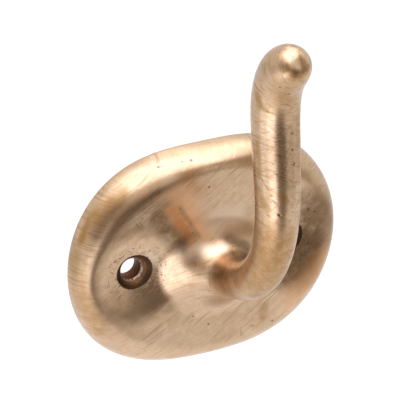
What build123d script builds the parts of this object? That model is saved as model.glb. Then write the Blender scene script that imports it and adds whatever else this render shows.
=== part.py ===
from build123d import *
import math
import os

# Long wall hook, cast in bronze in one piece: an oval plate that carries one up-turned arm.
# Millimetres and degrees. X runs to the right and Z up. The wall is the plane Y = 0, and the
# hook stands out along -Y. The origin is the middle of the back, halfway between the screws.

# Plate outline, measured from the middle
half_width = 36.8
half_height = 28.9
corner_reach = 34.3

# Front of the plate
plate_thickness = 8.65
side_crown_drop = 2.0
lower_end_drop = 1.4
edge_roll_side = 5.4
edge_roll_top = 4.7
edge_roll_corner = 8.2
edge_fullness = 2.28

# Screw holes and the dished seats round them
hole_pitch = 42.4
screw_bore = 5.4
countersink_width = 8.9
countersink_angle = 90
seat_radius = 12.7
seat_depth = 2.4
seat_fullness = 1.7

# Arm: its root on the plate, the elbow, the upright stem and the curled tip
root_drop = 2.1
root_radius = 5.0
root_flare_width = 9.3
root_flare_height = 11.7
root_flare_spread = 0.14
root_flare_fullness = 1.15
elbow_start = 3.1
elbow_length = 64.6
elbow_turn = 95.0
elbow_thickness_radius = 5.15
elbow_middle = 37.7
stem_radius = 5.98
stem_widest = 87.1
curl_start = 76.6
curl_end = 98.3
curl_turn = 63.4
curl_power = 1.66
arm_length = 103.6
tip_length = 10.6
tip_fullness = 2.4

# Spacing of the skin's sections
points_round = 56
plate_rings = 7
flare_rings = 7
arm_step = 2.5
tip_rings = 6
edge_angles = (0, 3, 9, 17, 27, 38, 50, 62, 75, 90)
walk_step = 0.25


def ease(t):
    t = min(max(t, 0.0), 1.0)
    return t * t * (3 - 2 * t)


def oval_reach(angle, width, height, corner):
    """Distance from the middle to an oval that is squared towards its corners."""
    mean = (width + height) / 2
    return (
        (mean + corner) / 2
        + (width - height) / 2 * math.cos(2 * angle)
        + (mean - corner) / 2 * math.cos(4 * angle)
    )


def flare_width(angle):
    """The flare reaches a little further to the sides than up and down."""
    return root_flare_width * (1 + root_flare_spread * math.cos(angle) ** 2)


def front_height(x, z):
    """Height of the plate's front above the wall, away from its rolled edge and the arm."""
    right, up = x / half_width, z / half_height
    height = plate_thickness - side_crown_drop * right**2 + lower_end_drop * up
    for side in (-1, 1):
        away = math.hypot(x - side * hole_pitch / 2, z) / seat_radius
        if away < 1:
            height -= seat_depth * (1 - away * away) ** seat_fullness
    return height


def arm_heading(distance):
    """Angle of the arm's line above level, in radians, at a distance along it."""
    bend = elbow_turn * ease((distance - elbow_start) / elbow_length)
    curl = min(max(distance - curl_start, 0) / (curl_end - curl_start), 1)
    return math.radians(bend - curl_turn * curl**curl_power)


def arm_point(distance):
    """How far out and how high the arm's line is, at a distance along it from the wall."""
    steps = max(1, round(distance / walk_step))
    step = distance / steps
    out, up = 0.0, -root_drop
    for i in range(steps):
        heading = arm_heading((i + 0.5) * step)
        out += math.cos(heading) * step
        up += math.sin(heading) * step
    return out, up


def arm_radius(distance):
    """The arm is thinnest at the elbow, fuller along the stem and domed at its tip."""
    stations = (
        (plate_thickness + root_flare_height, root_radius),
        (elbow_middle, elbow_thickness_radius),
        (stem_widest, stem_radius),
    )
    radius = root_radius
    for (start, before), (end, after) in zip(stations, stations[1:]):
        radius += (after - before) * ease((distance - start) / (end - start))
    into_tip = max(distance - (arm_length - tip_length), 0) / tip_length
    return radius * (1 - into_tip**tip_fullness) ** (1 / tip_fullness)


def angles_round():
    """Angles of a section's points, starting at the bottom."""
    return [-math.pi / 2 + 2 * math.pi * i / points_round for i in range(points_round)]


def section(points):
    """Closed curve through points given as right, out and up."""
    spline = Edge.make_spline(
        [Vector(x, -out, z) for x, out, z in points],
        periodic=True,
        parameters=[float(i) for i in range(points_round + 1)],
    )
    return Wire([spline])


def edge_ring(tilt):
    """Section of the rolled edge, from 0 at the wall to 90 degrees where the front begins."""
    inset = 1 - math.cos(math.radians(tilt)) ** (2 / edge_fullness)
    lift = math.sin(math.radians(tilt)) ** (2 / edge_fullness)
    points = []
    for angle in angles_round():
        reach = oval_reach(
            angle,
            half_width - edge_roll_side * inset,
            half_height - edge_roll_top * inset,
            corner_reach - edge_roll_corner * inset,
        )
        x, z = reach * math.cos(angle), reach * math.sin(angle)
        points.append((x, front_height(x, z) * lift, z))
    return section(points)


def plate_ring(share):
    """Section of the front, from the rolled edge at 0 to the foot of the arm's flare at 1."""
    points = []
    for angle in angles_round():
        reach = oval_reach(
            angle,
            half_width - edge_roll_side,
            half_height - edge_roll_top,
            corner_reach - edge_roll_corner,
        )
        reach += (root_radius + flare_width(angle) - reach) * share
        x, z = reach * math.cos(angle), reach * math.sin(angle) - root_drop * share
        points.append((x, front_height(x, z), z))
    return section(points)


def flare_ring(tilt):
    """Section of the flare between the plate at 0 and the arm at 90 degrees."""
    rise = root_flare_height * (1 - math.cos(math.radians(tilt)))
    narrowed = 1 - math.sin(math.radians(tilt)) ** root_flare_fullness
    distance = plate_thickness + rise
    heading = arm_heading(distance)
    out, up = arm_point(distance)
    lean = ease(tilt / 90)
    points = []
    for angle in angles_round():
        radius = root_radius + flare_width(angle) * narrowed
        side, above = radius * math.cos(angle), radius * math.sin(angle)
        flat_up = above - root_drop
        flat_out = front_height(side, flat_up) + rise
        arm_out = out - above * math.sin(heading)
        arm_up = up + above * math.cos(heading)
        blend_out = flat_out + (arm_out - flat_out) * lean
        blend_up = flat_up + (arm_up - flat_up) * lean
        points.append((side, blend_out, blend_up))
    return section(points)


def arm_ring(distance):
    """Round section square to the arm's line."""
    radius = arm_radius(distance)
    heading = arm_heading(distance)
    out, up = arm_point(distance)
    points = []
    for angle in angles_round():
        side, above = radius * math.cos(angle), radius * math.sin(angle)
        points.append((side, out - above * math.sin(heading), up + above * math.cos(heading)))
    return section(points)


def casting():
    """One skin of narrow ruled bands, from the outline on the wall to the end of the arm."""
    sections = [edge_ring(tilt) for tilt in edge_angles]
    sections += [plate_ring(i / plate_rings) for i in range(1, plate_rings)]
    sections += [flare_ring(90 * i / flare_rings) for i in range(flare_rings)]
    foot = plate_thickness + root_flare_height
    tip_start = arm_length - tip_length
    count = round((tip_start - foot) / arm_step)
    sections += [arm_ring(foot + (tip_start - foot) * i / count) for i in range(count + 1)]
    for i in range(1, tip_rings + 1):
        turn = math.radians(90 * i / (tip_rings + 1))
        sections.append(arm_ring(tip_start + tip_length * math.sin(turn)))
    out, up = arm_point(arm_length)
    return Solid.make_loft(sections + [Vertex(0, -out, up)], ruled=True)


def screw_hole(side):
    """Bore and countersink for one wood screw, on the left at -1 and the right at 1."""
    x = side * hole_pitch / 2
    seat_face = front_height(x, 0)
    cone_width = (countersink_width - screw_bore) / 2
    cone_foot = seat_face - cone_width / math.tan(math.radians(countersink_angle / 2))
    profile = Polyline(
        (0, -plate_thickness),
        (screw_bore / 2, -plate_thickness),
        (screw_bore / 2, cone_foot),
        (countersink_width / 2, seat_face),
        (countersink_width / 2, seat_face + plate_thickness),
        (0, seat_face + plate_thickness),
        close=True,
    )
    cutter = revolve(make_face(profile), axis=Axis.Y)
    return Pos(x, 0, 0) * Rot(180, 0, 0) * cutter


hook = casting()
for side in (-1, 1):
    hook = hook - screw_hole(side)

os.makedirs("parts", exist_ok=True)
export_step(hook, "parts/hook_casting.step")
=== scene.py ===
import math
from types import SimpleNamespace

import bpy
import numpy as np
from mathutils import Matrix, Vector, noise


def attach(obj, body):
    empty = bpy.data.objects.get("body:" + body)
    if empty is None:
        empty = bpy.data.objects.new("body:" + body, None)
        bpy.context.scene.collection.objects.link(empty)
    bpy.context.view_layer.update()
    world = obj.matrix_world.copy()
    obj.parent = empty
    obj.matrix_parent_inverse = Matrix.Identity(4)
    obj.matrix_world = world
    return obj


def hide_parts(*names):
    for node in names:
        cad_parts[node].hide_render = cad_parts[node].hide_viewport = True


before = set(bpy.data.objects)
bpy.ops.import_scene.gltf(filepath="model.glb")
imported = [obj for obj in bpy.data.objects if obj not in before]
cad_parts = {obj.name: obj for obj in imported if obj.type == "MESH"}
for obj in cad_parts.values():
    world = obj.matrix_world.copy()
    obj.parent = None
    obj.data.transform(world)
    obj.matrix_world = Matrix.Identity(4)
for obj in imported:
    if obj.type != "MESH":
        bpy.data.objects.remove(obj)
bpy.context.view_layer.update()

# Long wall hook in brushed bronze, one casting: an oval plate that carries one up-turned arm.
# Metres. X runs to the right and Z up. The wall is the plane Y = 0, and the hook stands out
# along -Y. The origin is the middle of the back, halfway between the screws.

MM = 0.001

# Plate outline, measured from the middle
HALF_WIDTH = 36.8 * MM
HALF_HEIGHT = 28.9 * MM
CORNER_REACH = 34.3 * MM

# Front of the plate
PLATE_THICKNESS = 8.65 * MM
SIDE_CROWN_DROP = 2.0 * MM
LOWER_END_DROP = 1.4 * MM
EDGE_ROLL_SIDE = 5.4 * MM
EDGE_ROLL_TOP = 4.7 * MM
EDGE_ROLL_CORNER = 8.2 * MM
EDGE_FULLNESS = 2.28
BACK_EDGE_BREAK = 0.35 * MM

# Screw holes and the dished seats round them
HOLE_PITCH = 42.4 * MM
BORE_RADIUS = 2.7 * MM
COUNTERSINK_RADIUS = 4.45 * MM
MOUTH_ROUNDING = 0.25 * MM
SEAT_RADIUS = 12.7 * MM
SEAT_DEPTH = 2.4 * MM
SEAT_FULLNESS = 1.7

# Arm: its root on the plate, the elbow, the upright stem and the curled tip
ROOT_DROP = 2.1 * MM
ROOT_RADIUS = 5.0 * MM
ROOT_FLARE_WIDTH = 9.3 * MM
ROOT_FLARE_HEIGHT = 11.7 * MM
ROOT_FLARE_SPREAD = 0.14
ROOT_FLARE_FULLNESS = 1.15
ELBOW_START = 3.1 * MM
ELBOW_LENGTH = 64.6 * MM
ELBOW_TURN = math.radians(95)
ELBOW_RADIUS = 5.15 * MM
ELBOW_MIDDLE = 37.7 * MM
STEM_RADIUS = 5.98 * MM
STEM_WIDEST = 87.1 * MM
CURL_START = 76.6 * MM
CURL_END = 98.3 * MM
CURL_TURN = math.radians(63.4)
CURL_POWER = 1.66
ARM_LENGTH = 103.6 * MM
TIP_LENGTH = 10.6 * MM
TIP_FULLNESS = 2.4

# How closely the skin is divided
POINTS_ROUND = 232
EDGE_RINGS = 26
EDGE_RING_CROWDING = 1.35
PLATE_RINGS = 34
FLARE_RINGS = 30
ARM_RINGS = 120
TIP_RINGS = 30
ARM_LINE_STEPS = 4000
POINTS_ROUND_HOLE = 96
SHARPEST_SMOOTH_TURN = math.radians(38)

# Unevenness that filing and polishing by hand leave, none of it close to the wall
HAND_UNEVENNESS = 0.05 * MM
MEAN_FILED_AWAY = 0.03 * MM
UNEVEN_PATCH = 9 * MM
FINER_PATCHES = 2.3
FINER_UNEVENNESS = 0.35
TRUE_NEAR_WALL = 2 * MM

# Height of the brushing, the grain and the pits
FINISH_RELIEF = 0.02 * MM

# How far the screw holes' cutting form stands out of the plate
CUTTER_BEHIND = 3 * MM
CUTTER_IN_FRONT = 8 * MM


def ease(t):
    """Rises smoothly from 0 to 1."""
    t = np.clip(t, 0.0, 1.0)
    return t * t * (3 - 2 * t)


def oval_reach(angle, width, height, corner):
    """Distance from the middle to an oval that is squared towards its corners."""
    mean = (width + height) / 2
    return (
        (mean + corner) / 2
        + (width - height) / 2 * np.cos(2 * angle)
        + (mean - corner) / 2 * np.cos(4 * angle)
    )


def flare_width(angle):
    """The flare reaches a little further to the sides than up and down."""
    return ROOT_FLARE_WIDTH * (1 + ROOT_FLARE_SPREAD * np.cos(angle) ** 2)


def front_height(x, z):
    """Height of the plate's front above the wall, away from its rolled edge and the arm."""
    right, up = x / HALF_WIDTH, z / HALF_HEIGHT
    height = PLATE_THICKNESS - SIDE_CROWN_DROP * right**2 + LOWER_END_DROP * up
    for side in (-1, 1):
        away = np.hypot(x - side * HOLE_PITCH / 2, z) / SEAT_RADIUS
        height = height - SEAT_DEPTH * np.clip(1 - away * away, 0, None) ** SEAT_FULLNESS
    return height


def arm_line():
    """Distances, ways out, heights and headings along the middle of the arm."""
    along = np.linspace(0, ARM_LENGTH, ARM_LINE_STEPS + 1)
    curl = np.clip((along - CURL_START) / (CURL_END - CURL_START), 0, 1)
    bend = ease((along - ELBOW_START) / ELBOW_LENGTH)
    heading = ELBOW_TURN * bend - CURL_TURN * curl**CURL_POWER
    step = along[1]
    middle = (heading[1:] + heading[:-1]) / 2
    out = np.concatenate(([0], np.cumsum(np.cos(middle)) * step))
    up = np.concatenate(([0], np.cumsum(np.sin(middle)) * step)) - ROOT_DROP
    return along, out, up, heading


ARM_LINE = arm_line()


def arm_place(along):
    """Way out, height and heading of the arm's middle at a distance along it."""
    return [np.interp(along, ARM_LINE[0], values) for values in ARM_LINE[1:]]


def arm_radius(along):
    """The arm is thinnest at the elbow, fuller along the stem and domed at its tip."""
    foot = PLATE_THICKNESS + ROOT_FLARE_HEIGHT
    stations = (
        (foot, ROOT_RADIUS),
        (ELBOW_MIDDLE, ELBOW_RADIUS),
        (STEM_WIDEST, STEM_RADIUS),
    )
    radius = ROOT_RADIUS
    for (start, before), (end, after) in zip(stations, stations[1:]):
        radius = radius + (after - before) * ease((along - start) / (end - start))
    into_tip = max(along - (ARM_LENGTH - TIP_LENGTH), 0) / TIP_LENGTH
    return radius * max(1 - into_tip**TIP_FULLNESS, 0) ** (1 / TIP_FULLNESS)


ANGLES = -math.pi / 2 + 2 * math.pi * np.arange(POINTS_ROUND) / POINTS_ROUND


def edge_ring(tilt):
    """Ring of the rolled edge, from 0 at the wall to a right angle where the front begins."""
    inset = 1 - math.cos(tilt) ** (2 / EDGE_FULLNESS)
    lift = math.sin(tilt) ** (2 / EDGE_FULLNESS)
    reach = oval_reach(
        ANGLES,
        HALF_WIDTH - EDGE_ROLL_SIDE * inset,
        HALF_HEIGHT - EDGE_ROLL_TOP * inset,
        CORNER_REACH - EDGE_ROLL_CORNER * inset,
    )
    x, z = reach * np.cos(ANGLES), reach * np.sin(ANGLES)
    out = front_height(x, z) * lift
    broken = BACK_EDGE_BREAK * max(0.0, 1 - out.mean() / BACK_EDGE_BREAK) ** 2
    return np.stack([x * (1 - broken / HALF_WIDTH), -out, z * (1 - broken / HALF_HEIGHT)], axis=1)


def plate_ring(share):
    """Ring of the front, from the rolled edge at 0 to the foot of the arm's flare at 1."""
    reach = oval_reach(
        ANGLES,
        HALF_WIDTH - EDGE_ROLL_SIDE,
        HALF_HEIGHT - EDGE_ROLL_TOP,
        CORNER_REACH - EDGE_ROLL_CORNER,
    )
    reach = reach + (ROOT_RADIUS + flare_width(ANGLES) - reach) * share
    x, z = reach * np.cos(ANGLES), reach * np.sin(ANGLES) - ROOT_DROP * share
    return np.stack([x, -front_height(x, z), z], axis=1)


def flare_ring(tilt):
    """Ring of the flare between the plate at 0 and the arm at a right angle."""
    rise = ROOT_FLARE_HEIGHT * (1 - math.cos(tilt))
    radius = ROOT_RADIUS + flare_width(ANGLES) * (1 - math.sin(tilt) ** ROOT_FLARE_FULLNESS)
    out, up, heading = arm_place(PLATE_THICKNESS + rise)
    lean = ease(tilt / (math.pi / 2))
    side, above = radius * np.cos(ANGLES), radius * np.sin(ANGLES)
    flat_up = above - ROOT_DROP
    flat_out = front_height(side, flat_up) + rise
    arm_out = out - above * math.sin(heading)
    arm_up = up + above * math.cos(heading)
    return np.stack(
        [side, -(flat_out + (arm_out - flat_out) * lean), flat_up + (arm_up - flat_up) * lean],
        axis=1,
    )


def arm_ring(along):
    """Round ring square to the arm's line."""
    out, up, heading = arm_place(along)
    radius = arm_radius(along)
    side, above = radius * np.cos(ANGLES), radius * np.sin(ANGLES)
    return np.stack(
        [side, -(out - above * math.sin(heading)), up + above * math.cos(heading)], axis=1
    )


def skin_rings():
    """Every ring of the skin, from the outline on the wall to the end of the arm."""
    quarter = math.pi / 2
    tilts = [quarter * (i / EDGE_RINGS) ** EDGE_RING_CROWDING for i in range(EDGE_RINGS + 1)]
    rings = [edge_ring(tilt) for tilt in tilts]
    rings += [plate_ring(i / PLATE_RINGS) for i in range(1, PLATE_RINGS)]
    rings += [flare_ring(quarter * i / FLARE_RINGS) for i in range(FLARE_RINGS)]
    foot = PLATE_THICKNESS + ROOT_FLARE_HEIGHT
    tip_start = ARM_LENGTH - TIP_LENGTH
    rings += [arm_ring(foot + (tip_start - foot) * i / ARM_RINGS) for i in range(ARM_RINGS + 1)]
    for i in range(1, TIP_RINGS):
        rings.append(arm_ring(tip_start + TIP_LENGTH * math.sin(quarter * i / TIP_RINGS)))
    return rings


def hand_finish(points):
    """Takes the surface a few hundredths in and out, as filing and polishing by hand leave it."""
    inward = np.zeros(len(points))
    for i, point in enumerate(points):
        place = Vector(point) / UNEVEN_PATCH
        finer = noise.noise(place * FINER_PATCHES)
        inward[i] = noise.noise(place) + FINER_UNEVENNESS * finer
    return inward * HAND_UNEVENNESS


def casting_mesh():
    """The whole casting as one closed skin, before its screw holes."""
    rings = skin_rings()
    tip = arm_ring(ARM_LENGTH)[:1]
    points = np.concatenate(rings + [tip])
    count = POINTS_ROUND
    faces = []
    for ring in range(len(rings) - 1):
        a, b = ring * count, (ring + 1) * count
        for i in range(count):
            j = (i + 1) % count
            faces.append((a + i, a + j, b + j, b + i))
    last, end = (len(rings) - 1) * count, len(points) - 1
    faces += [(last + i, last + (i + 1) % count, end) for i in range(count)]
    faces.append(tuple(range(count - 1, -1, -1)))
    mesh = bpy.data.meshes.new("hook_casting_skin")
    mesh.from_pydata(points.tolist(), [], faces)
    mesh.update()
    normals = np.empty(len(points) * 3)
    mesh.vertices.foreach_get("normal", normals)
    away_from_wall = np.clip(-points[:, 1] / TRUE_NEAR_WALL, 0, 1)
    depth = (MEAN_FILED_AWAY + hand_finish(points)) * away_from_wall
    points = points - normals.reshape(-1, 3) * np.clip(depth, 0, None)[:, None]
    mesh.vertices.foreach_set("co", points.ravel())
    mesh.update()
    return mesh


def screw_cutter(side):
    """Turned form of one screw hole: through bore, countersink and a softened mouth."""
    face = float(front_height(side * HOLE_PITCH / 2, 0.0))
    cone_foot = face - (COUNTERSINK_RADIUS - BORE_RADIUS)
    soft = MOUTH_ROUNDING
    profile = [
        (0.0, -CUTTER_BEHIND),
        (BORE_RADIUS + 0.5 * soft, -CUTTER_BEHIND),
        (BORE_RADIUS + 0.5 * soft, -0.01 * MM),
        (BORE_RADIUS, 0.5 * soft),
        (BORE_RADIUS, cone_foot - 0.25 * MM),
        (BORE_RADIUS + 0.06 * MM, cone_foot - 0.06 * MM),
        (BORE_RADIUS + 0.22 * MM, cone_foot + 0.16 * MM),
        (COUNTERSINK_RADIUS - 0.8 * soft, face - 0.8 * soft),
        (COUNTERSINK_RADIUS - 0.2 * soft, face - 0.32 * soft),
        (COUNTERSINK_RADIUS + 0.45 * soft, face - 0.02 * soft),
        (COUNTERSINK_RADIUS + 1.3 * soft, face + 0.25 * soft),
        (COUNTERSINK_RADIUS + 1.3 * soft, face + CUTTER_IN_FRONT),
        (0.0, face + CUTTER_IN_FRONT),
    ]
    count = POINTS_ROUND_HOLE
    points, faces = [], []
    for radius, out in profile:
        for i in range(count if radius else 1):
            angle = 2 * math.pi * i / count
            x = side * HOLE_PITCH / 2 + radius * math.cos(angle)
            points.append((x, -out, radius * math.sin(angle)))
    starts = [0] + [1 + count * i for i in range(len(profile) - 1)]
    first, last, end = starts[1], starts[-2], starts[-1]
    for i in range(count):
        j = (i + 1) % count
        faces.append((0, first + j, first + i))
        faces += [(a + i, a + j, b + j, b + i) for a, b in zip(starts[1:-2], starts[2:-1])]
        faces.append((last + i, last + j, end))
    mesh = bpy.data.meshes.new("screw_hole_form")
    mesh.from_pydata(points, [], faces)
    mesh.update()
    return bpy.data.objects.new("screw_hole_form", mesh)


def bore_screw_holes(casting):
    """Cuts both screw holes and clears the cutting forms away."""
    cutters = [screw_cutter(side) for side in (-1, 1)]
    for cutter in cutters:
        bpy.context.collection.objects.link(cutter)
        cut = casting.modifiers.new("screw_hole", "BOOLEAN")
        cut.operation = "DIFFERENCE"
        cut.solver = "EXACT"
        cut.object = cutter
    depsgraph = bpy.context.evaluated_depsgraph_get()
    bored = bpy.data.meshes.new_from_object(casting.evaluated_get(depsgraph))
    casting.modifiers.clear()
    casting.data = bored
    for cutter in cutters:
        bpy.data.objects.remove(cutter)


# Bronze, what has settled on it, and the colours of painted shade and painted highlights
POLISHED_BRONZE = (0.595, 0.420, 0.268, 1)
DULL_BRONZE = (0.490, 0.328, 0.196, 1)
COPPER_TONE = (0.62, 0.31, 0.13, 1)
OCHRE = (0.36, 0.200, 0.072, 1)
OLIVE_BROWN = (0.25, 0.155, 0.07, 1)
FLECK_BROWN = (0.27, 0.140, 0.055, 1)
# Brown of the countersinks' patina, and of the painted shade
PATINA_AND_SHADE_BROWN = (0.200, 0.120, 0.060, 1)
DARK_BROWN = (0.055, 0.026, 0.012, 1)
CONE_BROWN = (0.180, 0.085, 0.034, 1)
BORE_BROWN = (0.090, 0.030, 0.009, 1)
VERDIGRIS = (0.225, 0.235, 0.150, 1)
# Pale bronze of real scratches and chips, and of the painted highlights
PALE_WEAR_AND_HIGHLIGHT = (0.74, 0.58, 0.43, 1)

# Stains, painted shade, painted highlights and painted reflections, each round a short line: its
# two ends and its reach in millimetres, and its strength
COPPER_STAINS_AND_REFLECTIONS = (
    # Painted reflection of the arm: a warm copper stripe on the plate left of the root
    ((-13.0, -9.3, 16.4), (-7.2, -9.3, 6.8), 1.4, 0.66),
    ((22.8, -6.9, -17.0), (31.5, -6.0, -8.0), 4.2, 0.38),
    # The next two are a painted warm reflection of the arm on its own root
    ((-4.6, -12.6, 3.9), (-1.5, -18.5, 3.6), 2.0, 0.30),
    ((-6.0, -19.4, 0.2), (-1.4, -26.0, -0.6), 3.8, 0.25),
)
OCHRE_STAINS_AND_TIP_SHADE = (
    ((-34.6, -3.4, 10.4), (-32.6, -3.6, 15.2), 1.3, 1.0),
    ((-32.4, -3.9, 15.6), (-24.6, -6.3, 21.7), 2.2, 0.75),
    ((-5.9, -40.6, 58.2), (-5.5, -41.4, 55.6), 1.4, 0.80),
    ((-5.5, -41.5, 55.2), (-4.5, -42.9, 54.8), 0.9, 0.60),
    # Painted shade: the dark crescent under the tip's highlight
    ((-2.6, -50.4, 66.2), (1.6, -50.4, 66.4), 1.2, 0.85),
    ((-1.9, -45.4, 33.4), (-0.8, -45.6, 31.6), 1.1, 0.9),
    ((-5.4, -41.0, 33.6), (-4.4, -43.2, 29.4), 1.3, 0.75),
    ((-5.6, -40.4, 45.8), (-5.4, -41.2, 37.6), 0.9, 0.65),
    ((13.8, -7.4, -20.2), (14.6, -7.4, -17.0), 1.5, 0.45),
    # Darkens and yellows the whole elbow
    ((-3.2, -43.2, 18.0), (-1.0, -36.0, 1.0), 9.0, 0.80),
    ((-1.5, -48.8, 64.0), (-1.0, -46.0, 57.0), 5.0, 0.45),
    ((-34.6, -4.6, -4.0), (-31.0, -5.4, -14.0), 3.0, 0.55),
    ((4.0, -44.0, 52.0), (4.4, -43.4, 24.0), 2.0, 0.70),
    ((-36.2, -3.2, 6.0), (-35.4, -4.2, -5.0), 3.0, 0.45),
)
# Painted shade: the dark band inside the upper left rim and beside the copper stripe, the dark
# crescent under the tip, the hollow right of the root's top, below the left seat, over the right
# seat and down the root's left side
PAINTED_SHADES = (
    ((-31.4, -4.9, 12.2), (-26.4, -6.4, 19.2), 2.2, 0.60),
    ((-26.0, -7.8, 17.0), (-15.7, -9.2, 17.6), 3.4, 0.48),
    ((-16.4, -8.9, 15.6), (-11.2, -8.6, 6.6), 3.0, 0.72),
    ((-10.2, -9.3, 16.6), (-5.2, -9.5, 8.0), 0.8, 0.50),
    ((-3.0, -50.2, 67.5), (0.2, -50.9, 66.8), 0.8, 0.32),
    ((0.2, -50.9, 66.8), (2.4, -50.3, 67.7), 0.8, 0.45),
    ((2.2, -11.6, 6.4), (7.5, -11.6, 2.5), 1.9, 0.80),
    ((-20.4, -7.1, -8.8), (-13.0, -7.6, -10.2), 2.6, 0.30),
    ((27.6, -6.9, 5.0), (25.2, -6.8, -9.0), 7.4, 1.0),
    ((-6.0, -19.4, 0.2), (-1.4, -26.0, -0.6), 3.8, 0.72),
)
GREEN_SPOTS = (
    ((-3.4, -49.5, 65.4), (-3.1, -49.6, 65.3), 0.50, 0.60),
    ((-5.5, -41.3, 55.5), (-5.0, -42.2, 55.0), 0.55, 0.48),
    ((0.0, -45.6, 34.9), (0.3, -45.6, 34.9), 0.36, 0.9),
)
# Painted highlights: under and right of the left screw hole, on the root's top, and over the plate
# above the root where they lighten a dark reflection
PAINTED_HIGHLIGHTS = (
    ((-23.2, -7.1, -5.5), (-18.2, -7.1, -5.2), 0.8, 0.85),
    ((-17.6, -7.2, 4.6), (-14.8, -7.4, 0.6), 1.2, 0.50),
    ((-10.0, -10.6, 4.6), (-0.8, -12.8, 4.6), 2.4, 0.50),
    ((-12.2, -9.0, 22.6), (-2.6, -9.5, 12.0), 3.2, 0.46),
    ((-4.2, -9.9, 11.2), (5.2, -9.9, 10.6), 3.8, 0.46),
)
STAINS_AND_PAINTED_LIGHT = {
    "painted_shade": (PAINTED_SHADES, PATINA_AND_SHADE_BROWN),
    "copper_stain_and_reflection": (COPPER_STAINS_AND_REFLECTIONS, COPPER_TONE),
    "ochre_stain_and_tip_shade": (OCHRE_STAINS_AND_TIP_SHADE, OCHRE),
    "green_stain": (GREEN_SPOTS, VERDIGRIS),
    "painted_highlight": (PAINTED_HIGHLIGHTS, PALE_WEAR_AND_HIGHLIGHT),
}

# Shares of its reach up to which each line mark, stain and painted light alike, is full, and where
# it has faded out
LINE_MARK_CORE = 0.25
LINE_MARK_EDGE = 1.30

# Dark ticks and pale scratches: two ends and reach in millimetres
DARK_TICKS = (
    ((-0.8, -45.3, 56.7), (0.8, -45.2, 55.7), 0.22),
    ((0.9, -45.4, 35.5), (2.0, -45.2, 34.8), 0.22),
    ((-3.9, -44.3, 32.3), (-3.0, -44.7, 31.5), 0.20),
    ((-22.0, -8.6, 14.6), (-20.9, -8.6, 13.0), 0.20),
    ((-20.9, -8.6, 14.6), (-20.2, -8.6, 13.4), 0.18),
    ((7.8, -7.4, -20.0), (7.8, -7.4, -25.5), 0.13),
    ((10.7, -7.4, -21.8), (11.9, -7.4, -22.2), 0.18),
    ((-5.2, -42.0, 36.8), (-4.3, -43.6, 34.6), 0.18),
    ((-4.9, -42.7, 21.0), (-2.9, -43.4, 18.4), 0.15),
    ((-2.9, -43.4, 21.0), (-4.9, -42.7, 18.6), 0.15),
)
PALE_SCRATCHES = (
    ((-24.0, 0, 15.0), (-12.5, 0, 22.3), 0.14),
    ((-22.5, 0, 14.4), (-10.0, 0, 22.7), 0.11),
    ((-20.0, 0, 15.4), (-7.5, 0, 23.4), 0.15),
    ((-18.5, 0, 17.6), (-9.5, 0, 23.9), 0.10),
    ((-13.0, 0, 17.0), (-4.0, 0, 23.2), 0.12),
    ((-26.0, 0, 12.0), (-17.0, 0, 18.2), 0.12),
)

# Single pits: middle and width in millimetres
SINGLE_PITS = (
    ((-6.1, -7.0, 27.6), 0.36),
    ((-14.4, -5.7, 27.0), 0.30),
    ((-13.6, -5.8, 27.0), 0.20),
    ((-8.4, -6.7, 27.5), 0.18),
    ((-2.5, -9.6, 20.7), 0.22),
    ((1.6, -45.0, 40.8), 0.34),
    ((1.2, -44.9, 44.5), 0.26),
    ((-2.2, -45.2, 28.3), 0.34),
    ((-3.6, -47.5, 62.5), 0.24),
    ((-1.1, -47.2, 60.1), 0.24),
    ((26.7, -7.2, 7.2), 0.34),
    ((28.6, -7.1, 6.2), 0.26),
    ((-6.0, -7.8, -14.9), 0.22),
    ((-1.7, -7.7, -18.2), 0.24),
)

# Where the plate's finish gives way to the arm's, and the rim's to the plate's
ARM_BEGINS_ABOVE = 0.5 * MM
ARM_FADES_IN = 4 * MM
RIM_WIDTH = 1.0 * MM
RIM_FADES_OUT = 6.5 * MM

# Every which step of the arm's line is compared with the skin, and how many points at once
LINE_EVERY = 20
POINTS_AT_ONCE = 4000


def line_mark_strength(points, stains):
    """How strongly one set of line marks, stains and painted light alike, lies on each point,
    fading out round a short line.
    """
    strongest = np.zeros(len(points))
    for start, end, reach, strength in stains:
        start, line = np.array(start) * MM, (np.array(end) - start) * MM
        share = np.clip((points - start) @ line / (line @ line), 0, 1)
        away = np.linalg.norm(points - start - share[:, None] * line, axis=1)
        fade = 1 - ease((away / (reach * MM) - LINE_MARK_CORE) / (LINE_MARK_EDGE - LINE_MARK_CORE))
        strongest = np.maximum(strongest, strength * fade)
    return strongest


def mark_surface(mesh):
    """Stores how far along the arm each point lies, its region, and the stains and painted shade,
    highlights and reflections on it.
    """
    points = np.empty(len(mesh.vertices) * 3)
    mesh.vertices.foreach_get("co", points)
    points = points.reshape(-1, 3)
    x, out, z = points[:, 0], -points[:, 1], points[:, 2]
    line_along, line_out, line_up, _ = [values[::LINE_EVERY] for values in ARM_LINE]
    nearest = np.empty(len(points), dtype=int)
    for start in range(0, len(points), POINTS_AT_ONCE):
        part = slice(start, start + POINTS_AT_ONCE)
        gap = (out[part, None] - line_out) ** 2 + (z[part, None] - line_up) ** 2
        nearest[part] = gap.argmin(axis=1)
    along = line_along[nearest]
    on_arm = ease((out - front_height(x, z) - ARM_BEGINS_ABOVE) / ARM_FADES_IN)
    angle = np.arctan2(z, x)
    rim = oval_reach(angle, HALF_WIDTH, HALF_HEIGHT, CORNER_REACH) - np.hypot(x, z)
    roll = 1 - ease((rim - RIM_WIDTH) / RIM_FADES_OUT)
    marks = {
        "along_arm": along / ARM_LENGTH,
        "on_arm": on_arm,
        "rolled_edge": roll * (1 - on_arm),
    }
    for name, (stains, _) in STAINS_AND_PAINTED_LIGHT.items():
        marks[name] = line_mark_strength(points, stains)
    for name, values in marks.items():
        layer = mesh.attributes.new(name, "FLOAT", "POINT")
        layer.data.foreach_set("value", values.astype(np.float32))


# Finish of the bronze. Lengths are in millimetres.

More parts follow.
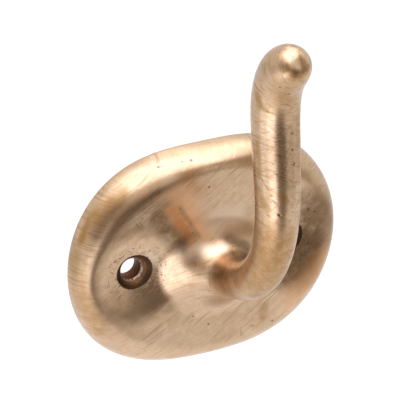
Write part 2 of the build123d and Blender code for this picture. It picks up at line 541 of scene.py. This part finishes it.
# Turn of the brushing on the plate, on its rim and on the arm
PLATE_TURN = math.radians(33)
RIM_TURN = math.radians(-8)
ARM_TURN = math.radians(-24)
ARM_CROSS_TURN = math.radians(38)
PLATE_BRUSHING = {"Lines per mm": 2.6, "Line length": 9.0}
RIM_BRUSHING = {"Lines per mm": 2.2, "Line length": 7.0}
ARM_BRUSHING = {"Lines per mm": 2.4, "Line length": 5.0}

# Scratches, flecks and pits, with the share of the surface that has them
PLATE_SCRATCHES = {"Spacing": 0.42, "Length": 9.0, "Share": 0.14}
RIM_SCRATCHES = {"Spacing": 0.42, "Length": 4.5, "Share": 0.20}
ARM_SCRATCHES = {"Spacing": 0.40, "Length": 2.6, "Share": 0.19}
ARM_CROSS_SCRATCHES = {"Spacing": 0.42, "Length": 2.4, "Share": 0.15}
ARM_FLECKS = {"Spacing": 0.72, "Width": 0.27, "Share": 0.42}
FLECK_SHORTENING = 0.38
SEAT_PITS = {"Spacing": 0.50, "Width": 0.23, "Share": 0.62}
FEW_PITS = {"Spacing": 3.4, "Width": 0.34, "Share": 0.06}
SMALLEST_PIT = 0.45
PIT_FLOOR = 0.45
SINGLE_PIT_REACH = 1.3
SINGLE_PIT_LENGTH = 0.1
SINGLE_PIT_RAGGEDNESS = 0.30
TICK_RAGGEDNESS = 0.25

# Noise: patches in a millimetre, detail and roughness
CLOUDS = (0.09, 3.0, 0.55)
MOTTLE = (0.42, 5.0, 0.66)
GRAIN = (3.2, 2.0, 0.6)
CHIPS = (1.5, 4.0, 0.7)
RAGGED_NOISE = (1.1, 5.0, 0.78)

# Noise of the lines and scratches: patches in one line, detail and roughness. A scratch shows
# where its noise rises above a level.
LINE_NOISE = (1.0, 3.0, 0.62)
SCRATCH_NOISE = (1.0, 1.0, 0.4)
SCRATCH_LAYER = 3.7
SCRATCH_LEVEL = 0.78
SCRATCH_SOFTNESS = 0.07

# Where a mask begins and where it is full: along the arm, in X, in Y or from a hole's middle
ARM_BRUSHING_STEP = (14.0, 24.0)
RIM_END_STEP = (22.0, 30.0)
FRONT_STEP = (-0.4, -1.6)
# The next three rows set the painted shade in each seat's crease by the rim
SEAT_SHADE_INSIDE_STEP = (8.6, 11.6)
SEAT_SHADE_OUTSIDE_STEP = (15.6, 12.6)
SEAT_SHADE_END_STEP = (11.0, 19.0)
SEAT_PIT_STEP = (11.0, 6.0)

# The same inside a screw hole, measured from the radii of its bore and its countersink
BORE = BORE_RADIUS / MM
CONE = COUNTERSINK_RADIUS / MM
CONE_STEP = (CONE + 0.50, CONE + 0.15)
CONE_CHIP_STEP = (CONE - 0.1, CONE - 0.8)
CONE_MOUTH_STEP = (CONE - 0.95, CONE - 0.35)
BORE_EDGE_STEP = (BORE + 0.62, BORE + 0.36)
BORE_STEP = (BORE + 0.12, BORE)

# Where a noise begins to show and where it is full
DULL_STEP = (0.42, 0.80)
STREAK_STEP = (0.38, 0.62)
SETTLED_STEP = (0.50, 0.72)
FLECK_PATCH_STEP = (0.44, 0.60)
PIT_PATCH_STEP = (0.38, 0.56)
BORE_CHIP_STEP = (0.40, 0.50)
CONE_CHIP_NOISE_STEP = (0.50, 0.60)

# Shares of its reach where a ragged mark begins and where it is full
MARK_STEP = (1.25, 0.25)

# How strongly each layer colours the bronze, where 1 covers it
CLOUD_DULLNESS = 0.7
MOTTLE_DULLNESS = 0.5
STREAK_TONE = 0.5
SCRATCH_TONE = 0.42
SETTLED_TONE = 0.26
SETTLED_ON_PLATE = 0.35
FLECK_TONE = 0.7
FLECKS_ON_PLATE = 0.16
# Painted shade round the seats
SEAT_SHADE_TONE = 0.62
SEAT_SHADE_LEAST = 0.2
LINE_MARK_GAIN = 1.2
LINE_MARK_MOTTLE = 1.4
LINE_MARK_GRAIN = 0.7
LINE_MARK_CUT = 0.25
TICK_TONE = 0.8
PALE_SCRATCH_TONE = 0.38
PIT_TONE = 0.72
CONE_CHIP_TONE = 0.8
BORE_EDGE_TONE = 0.85
CONE_TONE = 0.96

# Roughness of the polish, and what each layer adds to it
POLISH_ROUGHNESS = 0.22
MOTTLE_ROUGHNESS = 0.10
STREAK_ROUGHNESS = 0.05
LINE_MARK_ROUGHNESS = 0.12
CONE_ROUGHNESS = 0.22

# Height of each layer, as a share of the finish's relief
BRUSHING_HEIGHT = 0.85
MOTTLE_HEIGHT = 0.9
GRAIN_HEIGHT = 0.16
SCRATCH_HEIGHT = -0.5
PIT_HEIGHT = -2.2
CHIP_HEIGHT = 6.0


def add_node(tree, kind, inputs=None, **settings):
    """Shader node with its settings made and its inputs linked or filled in."""
    node = tree.nodes.new("ShaderNode" + kind)
    for name, value in settings.items():
        setattr(node, name, value)
    fill_in(tree, node, inputs or {})
    return node


def fill_in(tree, node, inputs):
    """Links each input to a socket, or sets it to a value."""
    for socket, value in inputs.items():
        if isinstance(value, bpy.types.NodeSocket):
            tree.links.new(value, node.inputs[socket])
        else:
            node.inputs[socket].default_value = value


def maths(tree, operation, first, second=0.0, clamp=False):
    """One step of arithmetic."""
    node = add_node(tree, "Math", {0: first, 1: second}, operation=operation, use_clamp=clamp)
    return node.outputs["Value"]


def plus(tree, first, second):
    """Sum of two values."""
    return maths(tree, "ADD", first, second)


def minus(tree, first, second):
    """The first value less the second."""
    return maths(tree, "SUBTRACT", first, second)


def times(tree, first, second, clamp=False):
    """Product of two values."""
    return maths(tree, "MULTIPLY", first, second, clamp)


def share_of(tree, first, second, clamp=False):
    """The first value as a share of the second."""
    return maths(tree, "DIVIDE", first, second, clamp)


def larger(tree, first, second):
    """The larger of two values."""
    return maths(tree, "MAXIMUM", first, second)


def layered(tree, start, *layers):
    """A start value with each layer added at its own strength."""
    total = start
    for value, strength in layers:
        total = plus(tree, total, times(tree, value, strength))
    return total


def vector_maths(tree, operation, first, second=None, scale=None, output="Vector"):
    """One step of arithmetic with vectors."""
    inputs = {0: first}
    if second is not None:
        inputs[1] = second
    if scale is not None:
        inputs["Scale"] = scale
    return add_node(tree, "VectorMath", inputs, operation=operation).outputs[output]


def soft_step(tree, value, start, end):
    """Rises smoothly from 0 at start to 1 at end."""
    inputs = {"Value": value, "From Min": start, "From Max": end}
    return add_node(tree, "MapRange", inputs, interpolation_type="SMOOTHSTEP").outputs["Result"]


def mixed(tree, mask, first, second):
    """The first value where the mask is 0 and the second where it is 1."""
    return add_node(tree, "Mix", {0: mask, 2: first, 3: second}).outputs[0]


def tint(tree, under, over, mask):
    """A colour laid over another as far as the mask says."""
    return add_node(tree, "Mix", {0: mask, 6: under, 7: over}, data_type="RGBA").outputs[2]


def noise_value(tree, place, scale, detail, roughness, output="Fac"):
    """Noise over the surface."""
    inputs = {"Vector": place, "Scale": scale, "Detail": detail, "Roughness": roughness}
    return add_node(tree, "TexNoise", inputs).outputs[output]


def vector_of(tree, **parts):
    """Vector put together from its parts."""
    return add_node(tree, "CombineXYZ", parts).outputs["Vector"]


def attribute(tree, name):
    """A value that mark_surface stored on the mesh."""
    return add_node(tree, "Attribute", attribute_name=name).outputs["Fac"]


def new_effect(name, inputs, output):
    """Empty node group, with the values it is given and the socket of its result."""
    tree = bpy.data.node_groups.new(name, "ShaderNodeTree")
    for socket, kind in inputs.items():
        tree.interface.new_socket(socket, in_out="INPUT", socket_type="NodeSocket" + kind)
    tree.interface.new_socket(output, in_out="OUTPUT", socket_type="NodeSocketFloat")
    given = tree.nodes.new("NodeGroupInput").outputs
    return tree, given, tree.nodes.new("NodeGroupOutput").inputs[output]


def use_effect(tree, effect, inputs):
    """Result of an effect with its own values."""
    return add_node(tree, "Group", inputs, node_tree=effect).outputs[0]


def hairline_effect():
    """Fine parallel brushing lines."""
    inputs = ("Across", "Along", "Lines per mm", "Line length")
    tree, given, result = new_effect("hairline_brushing", dict.fromkeys(inputs, "Float"), "Height")
    across = times(tree, given["Across"], given["Lines per mm"])
    along = share_of(tree, given["Along"], given["Line length"])
    place = vector_of(tree, X=across, Y=along)
    tree.links.new(noise_value(tree, place, *LINE_NOISE), result)
    return tree


def scratch_effect():
    """Separate scratches that stand out from the brushing."""
    inputs = ("Across", "Along", "Spacing", "Length", "Share")
    tree, given, result = new_effect("handling_scratches", dict.fromkeys(inputs, "Float"), "Mask")
    across = share_of(tree, given["Across"], given["Spacing"])
    along = share_of(tree, given["Along"], given["Length"])
    place = vector_of(tree, X=across, Y=along, Z=SCRATCH_LAYER)
    lines = noise_value(tree, place, *SCRATCH_NOISE)
    start = minus(tree, SCRATCH_LEVEL, given["Share"])
    mask = soft_step(tree, lines, start, plus(tree, start, SCRATCH_SOFTNESS))
    tree.links.new(mask, result)
    return tree


def pit_effect():
    """Small round pits left by the casting, some smaller than others."""
    inputs = {"Place": "Vector", "Spacing": "Float", "Width": "Float", "Share": "Float"}
    tree, given, result = new_effect("casting_pits", inputs, "Mask")
    scale = share_of(tree, 1.0, given["Spacing"])
    cells = add_node(tree, "TexVoronoi", {"Vector": given["Place"], "Scale": scale})
    chance = add_node(tree, "SeparateColor", {"Color": cells.outputs["Color"]})
    present = maths(tree, "LESS_THAN", chance.outputs["Red"], given["Share"])
    width = share_of(tree, given["Width"], given["Spacing"])
    reach = times(tree, width, plus(tree, SMALLEST_PIT, chance.outputs["Green"]))
    inside = soft_step(tree, cells.outputs["Distance"], reach, times(tree, reach, PIT_FLOOR))
    tree.links.new(times(tree, inside, present), result)
    return tree


def mark_effect():
    """A ragged mark round a short line."""
    inputs = {"Place": "Vector", "Start": "Vector", "End": "Vector"}
    inputs |= {"Reach": "Float", "Raggedness": "Float"}
    tree, given, result = new_effect("ragged_mark", inputs, "Mask")
    uneven = noise_value(tree, given["Place"], *RAGGED_NOISE, output="Color")
    centred = vector_maths(tree, "SUBTRACT", uneven, (0.5, 0.5, 0.5))
    shift = vector_maths(tree, "SCALE", centred, scale=given["Raggedness"])
    moved = vector_maths(tree, "ADD", given["Place"], shift)
    from_start = vector_maths(tree, "SUBTRACT", moved, given["Start"])
    line = vector_maths(tree, "SUBTRACT", given["End"], given["Start"])
    along = vector_maths(tree, "DOT_PRODUCT", from_start, line, output="Value")
    length = vector_maths(tree, "DOT_PRODUCT", line, line, output="Value")
    nearest = vector_maths(tree, "SCALE", line, scale=share_of(tree, along, length, clamp=True))
    away = vector_maths(tree, "DISTANCE", from_start, nearest, output="Value")
    tree.links.new(soft_step(tree, share_of(tree, away, given["Reach"]), *MARK_STEP), result)
    return tree


def draw_marks(tree, mark, place, marks, raggedness):
    """Mask of short marks, each with its two ends and its reach."""
    drawn = 0.0
    for start, end, reach in marks:
        inputs = {"Place": place, "Start": start, "End": end}
        inputs |= {"Reach": reach, "Raggedness": raggedness}
        drawn = larger(tree, drawn, use_effect(tree, mark, inputs))
    return drawn


def turned(tree, first, second, angle):
    """The two directions turned by an angle, as the ways across and along a brushing line."""
    cosine, sine = math.cos(angle), math.sin(angle)
    across = minus(tree, times(tree, second, cosine), times(tree, first, sine))
    along = plus(tree, times(tree, first, cosine), times(tree, second, sine))
    return {"Across": across, "Along": along}


def read_skin(tree):
    """What the finish goes by: each point's place in millimetres, its region and its noise."""
    skin = SimpleNamespace()
    surface = add_node(tree, "TexCoord")
    skin.place = vector_maths(tree, "SCALE", surface.outputs["Object"], scale=1 / MM)
    axes = add_node(tree, "SeparateXYZ", {0: skin.place}).outputs
    skin.x, skin.z = axes["X"], axes["Z"]
    skin.along_arm = times(tree, attribute(tree, "along_arm"), ARM_LENGTH / MM)
    skin.on_arm = attribute(tree, "on_arm")
    skin.clear_of_root = soft_step(tree, skin.along_arm, *ARM_BRUSHING_STEP)
    skin.from_middle = maths(tree, "ABSOLUTE", skin.x)
    far_out = soft_step(tree, skin.from_middle, *RIM_END_STEP)
    skin.rim_ends = times(tree, attribute(tree, "rolled_edge"), far_out)
    side = minus(tree, skin.from_middle, HOLE_PITCH / 2 / MM)
    squares = plus(tree, times(tree, side, side), times(tree, skin.z, skin.z))
    skin.from_hole = maths(tree, "SQRT", squares)
    skin.in_front = soft_step(tree, axes["Y"], *FRONT_STEP)
    skin.plate_front = minus(tree, skin.in_front, skin.on_arm)
    skin.clouds = noise_value(tree, skin.place, *CLOUDS)
    skin.mottle = noise_value(tree, skin.place, *MOTTLE)
    skin.grain = noise_value(tree, skin.place, *GRAIN)
    skin.chips = noise_value(tree, skin.place, *CHIPS)
    return skin


def by_region(tree, skin, plate, rim, arm):
    """One value on the plate, one over the ends of its rim and one on the arm."""
    return mixed(tree, skin.clear_of_root, mixed(tree, skin.rim_ends, plate, rim), arm)


def brush_and_scratch(tree, skin):
    """Brushing that runs up to the right on the plate, over the rim's ends and round the arm."""
    hairlines, scratches = hairline_effect(), scratch_effect()
    plate = turned(tree, skin.x, skin.z, PLATE_TURN)
    rim = turned(tree, skin.x, skin.z, RIM_TURN)
    arm = turned(tree, skin.x, skin.along_arm, ARM_TURN)
    crossing = turned(tree, skin.x, skin.along_arm, ARM_CROSS_TURN)
    skin.brushing = by_region(
        tree,
        skin,
        use_effect(tree, hairlines, {**plate, **PLATE_BRUSHING}),
        use_effect(tree, hairlines, {**rim, **RIM_BRUSHING}),
        use_effect(tree, hairlines, {**arm, **ARM_BRUSHING}),
    )
    skin.scratches = by_region(
        tree,
        skin,
        use_effect(tree, scratches, {**plate, **PLATE_SCRATCHES}),
        use_effect(tree, scratches, {**rim, **RIM_SCRATCHES}),
        larger(
            tree,
            use_effect(tree, scratches, {**arm, **ARM_SCRATCHES}),
            use_effect(tree, scratches, {**crossing, **ARM_CROSS_SCRATCHES}),
        ),
    )
    skin.streaks = soft_step(tree, skin.brushing, *STREAK_STEP)
    shortened = times(tree, arm["Along"], FLECK_SHORTENING)
    skin.stroke_place = vector_of(tree, X=arm["Across"], Y=shortened)


def polished_colour(tree, skin):
    """Bright and dull bronze in clouds, with dull streaks and brown scratches."""
    dull = layered(tree, 0.0, (skin.clouds, CLOUD_DULLNESS), (skin.mottle, MOTTLE_DULLNESS))
    colour = tint(tree, POLISHED_BRONZE, DULL_BRONZE, soft_step(tree, dull, *DULL_STEP))
    colour = tint(tree, colour, DULL_BRONZE, times(tree, skin.streaks, STREAK_TONE))
    return tint(tree, colour, FLECK_BROWN, times(tree, skin.scratches, SCRATCH_TONE))


def lay_patina(tree, skin, pits, colour):
    """Thin ochre patina and brown flecks on the arm, and less of both on the plate."""
    settled = times(tree, soft_step(tree, skin.mottle, *SETTLED_STEP), SETTLED_TONE)
    settled = times(tree, settled, plus(tree, SETTLED_ON_PLATE, skin.on_arm))
    colour = tint(tree, colour, OCHRE, settled)
    flecks = use_effect(tree, pits, {"Place": skin.stroke_place, **ARM_FLECKS})
    flecks = times(tree, flecks, soft_step(tree, skin.mottle, *FLECK_PATCH_STEP))
    flecks = times(tree, flecks, plus(tree, FLECKS_ON_PLATE, skin.on_arm), clamp=True)
    return tint(tree, colour, FLECK_BROWN, times(tree, flecks, FLECK_TONE))


def painted_seat_shade(tree, skin):
    """Mask of the painted shade, a brown ring where the seat round each screw hole meets the rim.
    """
    inside = soft_step(tree, skin.from_hole, *SEAT_SHADE_INSIDE_STEP)
    ring = times(tree, inside, soft_step(tree, skin.from_hole, *SEAT_SHADE_OUTSIDE_STEP))
    ring = times(tree, ring, soft_step(tree, skin.from_middle, *SEAT_SHADE_END_STEP))
    ring = times(tree, ring, plus(tree, SEAT_SHADE_LEAST, skin.mottle))
    return times(tree, ring, skin.in_front)


def lay_stains_and_painted_light(tree, skin, colour):
    """Painted seat shade, and the stains and painted shade, highlights and reflections that lie on
    the mesh. Also stores where any of them lies.
    """
    # Painted shade where each seat meets the rim, laid in brown
    ring = painted_seat_shade(tree, skin)
    colour = tint(tree, colour, PATINA_AND_SHADE_BROWN, times(tree, ring, SEAT_SHADE_TONE))
    skin.stained = ring
    uneven = layered(tree, -LINE_MARK_CUT, (skin.mottle, LINE_MARK_MOTTLE), (skin.grain, LINE_MARK_GRAIN))
    for name, (_, stain_colour) in STAINS_AND_PAINTED_LIGHT.items():
        strength = times(tree, attribute(tree, name), LINE_MARK_GAIN)
        mask = times(tree, strength, uneven, clamp=True)
        colour = tint(tree, colour, stain_colour, mask)
        skin.stained = larger(tree, skin.stained, mask)
    return colour


def lay_marks(tree, skin, mark, colour):
    """Dark ticks, and pale scratches on the front of the plate."""
    ticks = draw_marks(tree, mark, skin.place, DARK_TICKS, TICK_RAGGEDNESS)
    colour = tint(tree, colour, OLIVE_BROWN, times(tree, ticks, TICK_TONE))
    flat_place = vector_of(tree, X=skin.x, Z=skin.z)
    pale = draw_marks(tree, mark, flat_place, PALE_SCRATCHES, TICK_RAGGEDNESS)
    pale = times(tree, pale, skin.plate_front, clamp=True)
    return tint(tree, colour, PALE_WEAR_AND_HIGHLIGHT, times(tree, pale, PALE_SCRATCH_TONE))


def sink_pits(tree, skin, pits, mark, colour):
    """Pits in the seats, a few scattered ones and the large single ones."""
    in_seats = times(
        tree,
        soft_step(tree, skin.from_hole, *SEAT_PIT_STEP),
        soft_step(tree, skin.mottle, *PIT_PATCH_STEP),
    )
    in_seats = times(tree, in_seats, skin.plate_front, clamp=True)
    seat_pits = use_effect(tree, pits, {"Place": skin.place, **SEAT_PITS})
    few_pits = use_effect(tree, pits, {"Place": skin.place, **FEW_PITS})
    scattered = larger(tree, times(tree, seat_pits, in_seats), few_pits)
    single_pits = [
        ((x, y, z), (x + SINGLE_PIT_LENGTH, y, z), width * SINGLE_PIT_REACH)
        for (x, y, z), width in SINGLE_PITS
    ]
    single = draw_marks(tree, mark, skin.place, single_pits, SINGLE_PIT_RAGGEDNESS)
    skin.pitted = larger(tree, scattered, single)
    return tint(tree, colour, DARK_BROWN, times(tree, skin.pitted, PIT_TONE))


def darken_holes(tree, skin, colour):
    """Brown bore, dark countersink and a chipped pale line at the bore's edge."""
    cone = soft_step(tree, skin.from_hole, *CONE_STEP)
    skin.in_cone = times(tree, cone, skin.in_front)
    chipped = times(
        tree,
        soft_step(tree, skin.chips, *CONE_CHIP_NOISE_STEP),
        soft_step(tree, skin.from_hole, *CONE_CHIP_STEP),
    )
    bore_edge = times(
        tree,
        soft_step(tree, skin.chips, *BORE_CHIP_STEP),
        soft_step(tree, skin.from_hole, *BORE_EDGE_STEP),
    )
    cone_colour = tint(tree, CONE_BROWN, PATINA_AND_SHADE_BROWN, times(tree, chipped, CONE_CHIP_TONE))
    mouth = soft_step(tree, skin.from_hole, *CONE_MOUTH_STEP)
    cone_colour = tint(tree, cone_colour, DARK_BROWN, mouth)
    cone_colour = tint(tree, cone_colour, PALE_WEAR_AND_HIGHLIGHT, times(tree, bore_edge, BORE_EDGE_TONE))
    colour = tint(tree, colour, cone_colour, times(tree, skin.in_cone, CONE_TONE))
    return tint(tree, colour, BORE_BROWN, soft_step(tree, skin.from_hole, *BORE_STEP))


def finish_roughness(tree, skin):
    """Smoothest where the polish is clean, and dullest in the countersinks."""
    return layered(
        tree,
        POLISH_ROUGHNESS,
        (skin.mottle, MOTTLE_ROUGHNESS),
        (skin.streaks, STREAK_ROUGHNESS),
        (skin.stained, LINE_MARK_ROUGHNESS),
        (skin.in_cone, CONE_ROUGHNESS),
    )


def finish_relief(tree, skin):
    """Height of the brushing, the scratches, the pits and the chipped countersinks."""
    return layered(
        tree,
        0.0,
        (skin.brushing, BRUSHING_HEIGHT),
        (skin.mottle, MOTTLE_HEIGHT),
        (skin.grain, GRAIN_HEIGHT),
        (skin.scratches, SCRATCH_HEIGHT),
        (skin.pitted, PIT_HEIGHT),
        (times(tree, skin.chips, skin.in_cone), CHIP_HEIGHT),
    )


def make_bronze():
    """Brushed bronze with fine scratches, casting pits, patina in its hollows, and painted shade,
    highlights and reflections.
    """
    material = bpy.data.materials.new("brushed_bronze")
    material.use_nodes = True
    tree = material.node_tree
    shader = tree.nodes["Principled BSDF"]
    pits, mark = pit_effect(), mark_effect()
    skin = read_skin(tree)
    brush_and_scratch(tree, skin)
    colour = polished_colour(tree, skin)
    colour = lay_patina(tree, skin, pits, colour)
    colour = lay_stains_and_painted_light(tree, skin, colour)
    colour = lay_marks(tree, skin, mark, colour)
    colour = sink_pits(tree, skin, pits, mark, colour)
    colour = darken_holes(tree, skin, colour)
    relief = finish_relief(tree, skin)
    bump = add_node(tree, "Bump", {"Height": relief, "Strength": 1.0, "Distance": FINISH_RELIEF})
    shader.inputs["Metallic"].default_value = 1.0
    tree.links.new(colour, shader.inputs["Base Color"])
    tree.links.new(finish_roughness(tree, skin), shader.inputs["Roughness"])
    tree.links.new(bump.outputs["Normal"], shader.inputs["Normal"])
    return material


def make_hook():
    """The hook as one mesh: cast, bored, marked and finished."""
    hook = bpy.data.objects.new("bronze_hook", casting_mesh())
    bpy.context.collection.objects.link(hook)
    bore_screw_holes(hook)
    hook.data.shade_smooth()
    hook.data.set_sharp_from_angle(angle=SHARPEST_SMOOTH_TURN)
    mark_surface(hook.data)
    hook.data.materials.clear()
    hook.data.materials.append(make_bronze())
    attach(hook, "root")
    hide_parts("hook_casting")


# Camera and studio
CAMERA_AZIMUTH = math.radians(-27.24)
CAMERA_ELEVATION = math.radians(26.28)
CAMERA_DISTANCE = 900 * MM
AIM_ABOVE_ORIGIN = 11.3 * MM
SENSOR_WIDTH_IN_MM = 36.0
LENS_IN_MM = 324.0
NEAREST_SEEN = 50 * MM
FARTHEST_SEEN = 50.0
FLOOR_LEVEL = -500 * MM
FLOOR_REACH = 6000 * MM
FLOOR_GREY = (0.8, 0.8, 0.8, 1)
FLOOR_ROUGHNESS = 0.9
FLOOR_LIFT = 0.32
WORLD_FILL = 0.6
WORLD_SEEN = 1.0
LIT_PLACE = Vector((0, -20 * MM, 20 * MM))
WHITE = (1, 1, 1)
DAYLIGHT = (0.92, 0.97, 1.18)
CARD_COLOUR = (1.0, 0.76, 0.58, 1)

# Lamps: azimuth and elevation in degrees, distance, width, height, brightness and colour
LAMPS = (
    ("overhead_softbox", 180, 88, 1200 * MM, 1950 * MM, 1850 * MM, 1.15, DAYLIGHT),
    ("overhead_core", 180, 84, 1150 * MM, 1220 * MM, 980 * MM, 1.35, DAYLIGHT),
    ("high_front_softbox", -26, 55, 1000 * MM, 540 * MM, 500 * MM, 1.50, DAYLIGHT),
    ("left_softbox", -98, 44, 1400 * MM, 900 * MM, 300 * MM, 0.75, WHITE),
    ("right_softbox", 128, 44, 1400 * MM, 1500 * MM, 300 * MM, 1.60, WHITE),
    ("low_left_softbox", -66, -26, 800 * MM, 1000 * MM, 400 * MM, 0.80, DAYLIGHT),
    ("low_left_core", -47, -24, 780 * MM, 420 * MM, 340 * MM, 1.30, DAYLIGHT),
)

# Cards: azimuth and elevation in degrees, distance, width, height and brightness
CARDS = (
    ("camera_side_card", -45, 16, 720 * MM, 390 * MM, 620 * MM, 0.34),
    ("low_front_card", -2, -8, 740 * MM, 620 * MM, 380 * MM, 0.14),
    ("table_front_card", -5, -31, 720 * MM, 420 * MM, 240 * MM, 0.28),
    ("front_card", -14, 13, 760 * MM, 400 * MM, 170 * MM, 0.85),
    ("right_card", 48, 16, 780 * MM, 480 * MM, 1050 * MM, 0.52),
    ("left_card", -75, 20, 800 * MM, 400 * MM, 380 * MM, 0.66),
)


def toward(azimuth, elevation):
    """Direction from the hook: azimuth 0 is straight out from the wall, 90 is to the right."""
    return Vector(
        (
            math.sin(azimuth) * math.cos(elevation),
            -math.cos(azimuth) * math.cos(elevation),
            math.sin(elevation),
        )
    )


def make_camera():
    """Long lens to the left of the hook and above it, aimed a little over the origin."""
    data = bpy.data.cameras.new("camera")
    data.sensor_width = SENSOR_WIDTH_IN_MM
    data.lens = LENS_IN_MM
    data.clip_start = NEAREST_SEEN
    data.clip_end = FARTHEST_SEEN
    camera = bpy.data.objects.new("camera", data)
    back = toward(CAMERA_AZIMUTH, CAMERA_ELEVATION)
    right = Vector((0, 0, 1)).cross(back).normalized()
    up = back.cross(right)
    camera.location = back * CAMERA_DISTANCE
    look = up * AIM_ABOVE_ORIGIN - camera.location
    camera.rotation_euler = look.to_track_quat("-Z", "Y").to_euler()
    bpy.context.collection.objects.link(camera)
    bpy.context.scene.camera = camera


def seen_directly(tree):
    """1 where the camera, a reflection or a view through something meets the surface."""
    path = add_node(tree, "LightPath").outputs
    seen = larger(tree, path["Is Camera Ray"], path["Is Glossy Ray"])
    return larger(tree, seen, path["Is Transmission Ray"])


def make_world():
    """White for the camera and for reflections, softer as light on the floor."""
    world = bpy.data.worlds.new("studio")
    world.use_nodes = True
    tree = world.node_tree
    strength = add_node(
        tree,
        "MapRange",
        {"Value": seen_directly(tree), "To Min": WORLD_FILL, "To Max": WORLD_SEEN},
    )
    light = tree.nodes["Background"]
    light.inputs["Color"].default_value = (*WHITE, 1)
    tree.links.new(strength.outputs["Result"], light.inputs["Strength"])
    bpy.context.scene.world = world


def flat_piece(name, width, height):
    """A rectangle about its own middle, with a new plain material."""
    x, y = width / 2, height / 2
    mesh = bpy.data.meshes.new(name)
    mesh.from_pydata([(-x, -y, 0), (x, -y, 0), (x, y, 0), (-x, y, 0)], [], [(0, 1, 2, 3)])
    material = bpy.data.materials.new(name)
    material.use_nodes = True
    mesh.materials.append(material)
    piece = bpy.data.objects.new(name, mesh)
    bpy.context.collection.objects.link(piece)
    return piece, material.node_tree, material.node_tree.nodes["Principled BSDF"]


def make_floor():
    """Plain pale floor well below the hook, lifted to white where it is seen."""
    floor, tree, shader = flat_piece("floor", 2 * FLOOR_REACH, 2 * FLOOR_REACH)
    floor.location.z = FLOOR_LEVEL
    shader.inputs["Base Color"].default_value = FLOOR_GREY
    shader.inputs["Roughness"].default_value = FLOOR_ROUGHNESS
    shader.inputs["Specular IOR Level"].default_value = 0.0
    shader.inputs["Emission Color"].default_value = (*WHITE, 1)
    lift = times(tree, seen_directly(tree), FLOOR_LIFT)
    tree.links.new(lift, shader.inputs["Emission Strength"])


def face_hook(piece, azimuth, elevation, distance):
    """Stands a lamp or a card off from the hook, facing it."""
    back = toward(math.radians(azimuth), math.radians(elevation))
    piece.location = back * distance + LIT_PLACE
    piece.rotation_euler = back.to_track_quat("Z", "Y").to_euler()


def add_lamp(name, azimuth, elevation, distance, width, height, brightness, colour):
    """Soft lamp that shows in the metal at a brightness where 1 is white."""
    data = bpy.data.lights.new(name, "AREA")
    data.shape = "RECTANGLE"
    data.size, data.size_y = width, height
    data.energy = brightness * width * height * math.pi
    data.color = colour
    lamp = bpy.data.objects.new(name, data)
    lamp.visible_camera = False
    face_hook(lamp, azimuth, elevation, distance)
    bpy.context.collection.objects.link(lamp)


def add_card(name, azimuth, elevation, distance, width, height, brightness):
    """Grey card that only the metal's reflections show."""
    card, _, shader = flat_piece(name, width, height)
    shader.inputs["Base Color"].default_value = (0, 0, 0, 1)
    shader.inputs["Specular IOR Level"].default_value = 0.0
    shader.inputs["Emission Color"].default_value = CARD_COLOUR
    shader.inputs["Emission Strength"].default_value = brightness
    face_hook(card, azimuth, elevation, distance)
    for sight in ("camera", "diffuse", "transmission", "shadow", "volume_scatter"):
        setattr(card, "visible_" + sight, False)


make_camera()
make_world()
make_floor()
for lamp in LAMPS:
    add_lamp(*lamp)
for card in CARDS:
    add_card(*card)
make_hook()

scene = bpy.context.scene
scene.view_settings.view_transform = "Standard"
